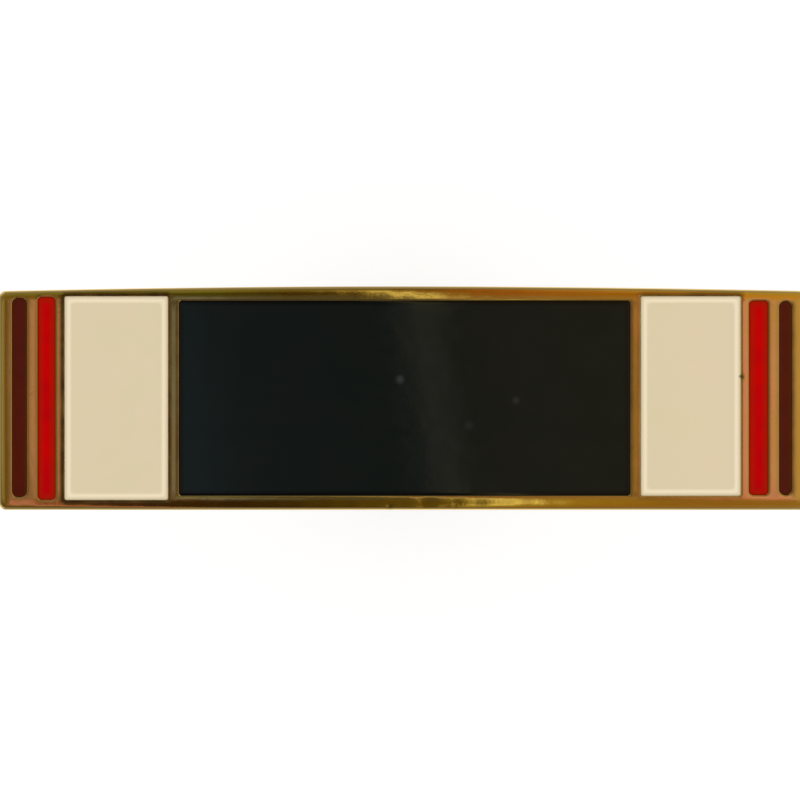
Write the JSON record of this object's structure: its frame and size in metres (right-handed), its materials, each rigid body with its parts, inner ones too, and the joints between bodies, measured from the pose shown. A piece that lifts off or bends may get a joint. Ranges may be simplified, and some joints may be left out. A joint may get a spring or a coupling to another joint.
{
  "type": "ribbon lapel pin",
  "caption": "Small rectangular metal lapel pin with upright enamel stripes between thin metal walls, and a post with a barrel clutch behind it that holds it through cloth.",
  "frame": {"origin": "on the surface the pin stands on, under the middle of the bar, which is the bottom centre of the part's box", "axes": "+Z out of the enamel face, +X along the bar to the wearer's left, +Y across the bar, up when the bar is worn level"},
  "size_m": [0.0174, 0.0048, 0.0074],
  "materials": {
    "gold_plate": "polished gold plate on struck brass",
    "maroon_enamel": "glossy flat enamel",
    "red_enamel": "glossy flat enamel",
    "ivory_enamel": "glossy flat enamel",
    "black_enamel": "glossy flat enamel",
    "clutch_brass": "satin gold plate on turned brass"
  },
  "bodies": {
    "root": {"plate": "gold_plate", "enamel_maroon_left": "maroon_enamel", "enamel_red_left": "red_enamel", "enamel_ivory_left": "ivory_enamel", "enamel_black": "black_enamel", "enamel_ivory_right": "ivory_enamel", "enamel_red_right": "red_enamel", "enamel_maroon_right": "maroon_enamel", "clutch": "clutch_brass"}
  },
  "joints": []
}
